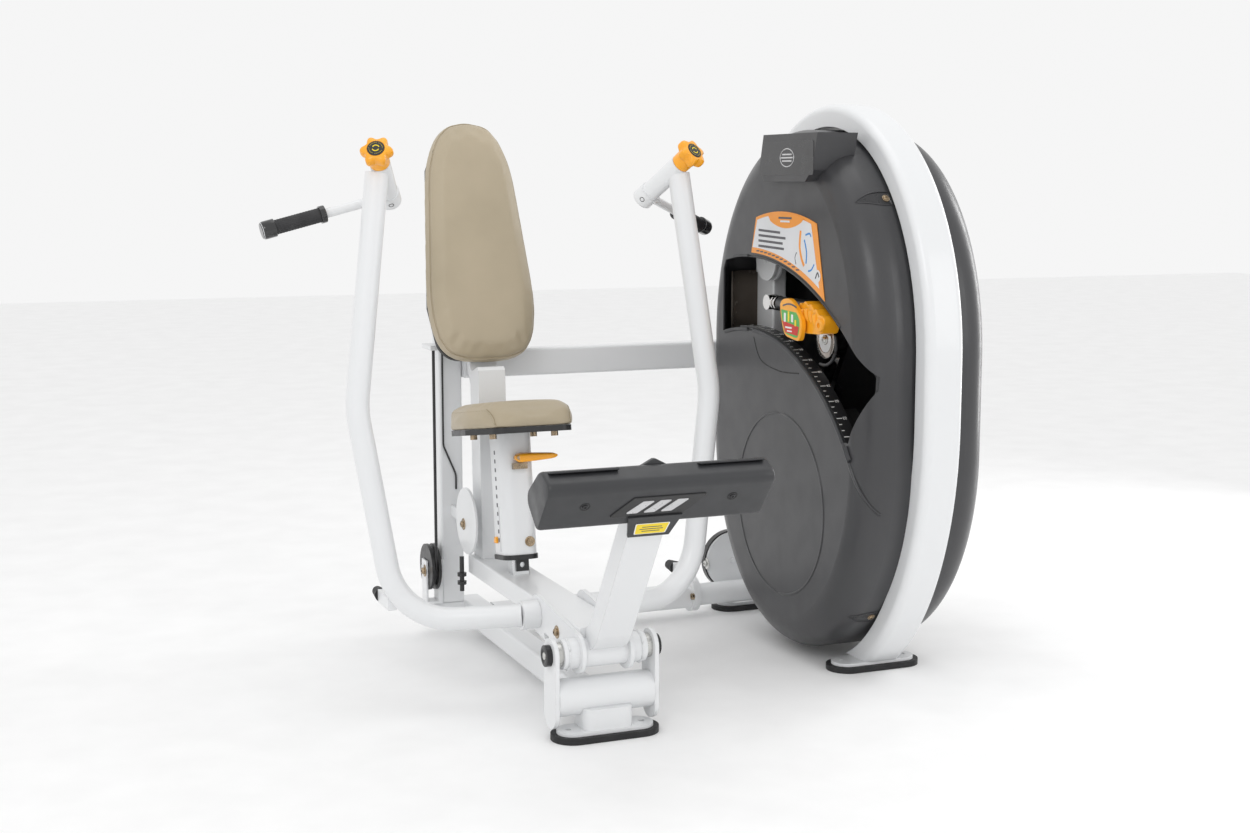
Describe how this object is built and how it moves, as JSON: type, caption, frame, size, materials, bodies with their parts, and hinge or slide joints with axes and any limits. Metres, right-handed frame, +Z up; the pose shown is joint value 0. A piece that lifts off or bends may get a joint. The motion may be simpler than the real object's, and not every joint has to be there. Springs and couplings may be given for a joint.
{
  "type": "shoulder press machine",
  "caption": "Seated pressing machine with a rocking seat, swivel handles on tall bent arms and an enclosed lever weight tower beside it.",
  "frame": {"origin": "on the floor under the front foot, in the middle plane of the seat", "axes": "+X toward the weight tower, +Y toward the back, +Z up"},
  "size_m": [1.6468, 1.3807, 1.412],
  "materials": {
    "white_paint": "gloss powder coat",
    "dark_cover": "satin charcoal",
    "foot_cover": "satin charcoal",
    "black_rubber": "matte",
    "black_plastic": "satin",
    "black_paint": "satin",
    "yellow_plastic": "gloss",
    "vinyl": "fine grain",
    "board": "painted black",
    "zinc": "plated",
    "chrome": "polished",
    "bronze_bolt": "yellow passivated",
    "aluminium": "satin",
    "cast": "painted",
    "label": "printed plate",
    "scale_strip": "printed strip"
  },
  "bodies": {
    "frame": {"front_stand": "white_paint", "front_rubber_foot": "black_rubber", "base_spine": "white_paint", "rear_cross_tube": "white_paint", "rear_column": "white_paint", "upper_cross_beam": "white_paint", "rear_bottom_tube": "white_paint", "flange_bolts": "bronze_bolt", "tower_hoop": "white_paint", "tower_front_foot": "white_paint", "tower_rear_foot": "white_paint", "tower_rubber_feet": "black_rubber", "near_shell": "dark_cover", "far_shell": "dark_cover", "header_box": "dark_cover", "placard": "label", "dial_scale": "scale_strip", "inner_column": "white_paint", "lever_axle": "zinc", "disc_cover": "white_paint", "pulley_yoke": "white_paint", "column_cables": "black_plastic", "pulley_guard": "white_paint", "pivot_shaft": "black_paint", "pivot_spacers": "zinc"},
    "inner_wheel": {"inner_pulley": "white_paint"},
    "lower_wheel": {"disc_pulley": "black_plastic"},
    "column_wheel": {"column_pulley": "black_plastic"},
    "lever": {"weight_lever": "black_paint", "weight_block": "cast"},
    "selector": {"selector_arm": "chrome", "selector_carriage": "yellow_plastic"},
    "paddle": {"selector_paddle": "yellow_plastic"},
    "rocker": {"rocker_hub": "white_paint", "left_side_plate": "white_paint", "right_side_plate": "white_paint", "rocker_tube": "white_paint", "foot_bar": "foot_cover", "foot_bar_tab": "foot_cover", "back_column": "white_paint", "back_board": "board", "back_pad": "vinyl", "seat_post": "aluminium", "seat_rack": "black_plastic"},
    "seat": {"seat_carriage": "white_paint", "carriage_cap": "black_plastic", "seat_hardware": "bronze_bolt", "seat_base": "black_plastic", "seat_pad": "vinyl"},
    "seat_lever": {"release_lever": "yellow_plastic"},
    "arms": {"arm_shaft": "zinc", "right_press_arm": "white_paint", "left_press_arm": "white_paint", "arm_bumpers": "black_rubber"},
    "left_swivel": {"left_handle": "white_paint", "left_grip": "black_rubber"},
    "right_swivel": {"right_handle": "white_paint", "right_grip": "black_rubber"},
    "left_turn_knob": {"left_knob": "yellow_plastic"},
    "right_turn_knob": {"right_knob": "yellow_plastic"}
  },
  "joints": [
    {"name": "arm_press", "type": "hinge", "parent": "rocker", "child": "arms", "pos_m": [0, 0.315, 0.217], "axis": [1, 0, 0], "range_deg": [0, 28]},
    {"name": "rocker_hinge", "type": "hinge", "parent": "frame", "child": "rocker", "pos_m": [0, 0.062, 0.188], "axis": [1, 0, 0], "range_deg": [0, 8.96]},
    {"name": "lever_hinge", "type": "hinge", "parent": "frame", "child": "lever", "pos_m": [0.84, 0.68, 0.18], "axis": [-1, 0, 0], "range_deg": [0, 14]},
    {"name": "selector_turn", "type": "hinge", "parent": "frame", "child": "selector", "pos_m": [0.84, 0.68, 0.18], "axis": [1, 0, 0], "range_deg": [-16, 14]},
    {"name": "paddle_squeeze", "type": "hinge", "parent": "selector", "child": "paddle", "pos_m": [0.66, 0.352, 0.885], "axis": [1, 0, 0], "range_deg": [-10, 0]},
    {"name": "inner_wheel_spin", "type": "hinge", "parent": "frame", "child": "inner_wheel", "pos_m": [0.76, 0.752, 1.012], "axis": [1, 0, 0], "range_deg": [0, 140]},
    {"name": "lower_wheel_spin", "type": "hinge", "parent": "frame", "child": "lower_wheel", "pos_m": [0.762, 0.985, 0.142], "axis": [0, 1, 0], "range_deg": [0, 140]},
    {"name": "column_wheel_spin", "type": "hinge", "parent": "frame", "child": "column_wheel", "pos_m": [-0.12, 1.012, 0.19], "axis": [1, 0, 0], "range_deg": [0, 140]},
    {"name": "seat_height", "type": "slide", "parent": "rocker", "child": "seat", "axis": [0, 0.1478, 0.989], "range_m": [0, 0.09]},
    {"name": "seat_lever_lift", "type": "hinge", "parent": "seat", "child": "seat_lever", "pos_m": [-0.008, 0.6086, 0.5391], "axis": [0, -0.989, 0.1478], "range_deg": [0, 12]},
    {"name": "left_handle_swivel", "type": "hinge", "parent": "arms", "child": "left_swivel", "pos_m": [-0.386, 0.46, 1.279], "axis": [0.3431, 0.7483, -0.5678], "range_deg": [-30, 30]},
    {"name": "right_handle_swivel", "type": "hinge", "parent": "arms", "child": "right_swivel", "pos_m": [0.386, 0.46, 1.279], "axis": [-0.3431, 0.7483, -0.5678], "range_deg": [-30, 30]},
    {"name": "left_knob_turn", "type": "hinge", "parent": "arms", "child": "left_turn_knob", "pos_m": [-0.386, 0.46, 1.279], "axis": [0.3431, 0.7483, -0.5678], "range_deg": [-180, 180]},
    {"name": "right_knob_turn", "type": "hinge", "parent": "arms", "child": "right_turn_knob", "pos_m": [0.386, 0.46, 1.279], "axis": [-0.3431, 0.7483, -0.5678], "range_deg": [-180, 180]}
  ],
  "couplings": [
    {"joint": "rocker_hinge", "follows": "arm_press", "ratio": 0.32},
    {"joint": "lever_hinge", "follows": "arm_press", "ratio": 0.5},
    {"joint": "inner_wheel_spin", "follows": "arm_press", "ratio": 5},
    {"joint": "lower_wheel_spin", "follows": "arm_press", "ratio": 5},
    {"joint": "column_wheel_spin", "follows": "arm_press", "ratio": 5}
  ]
}
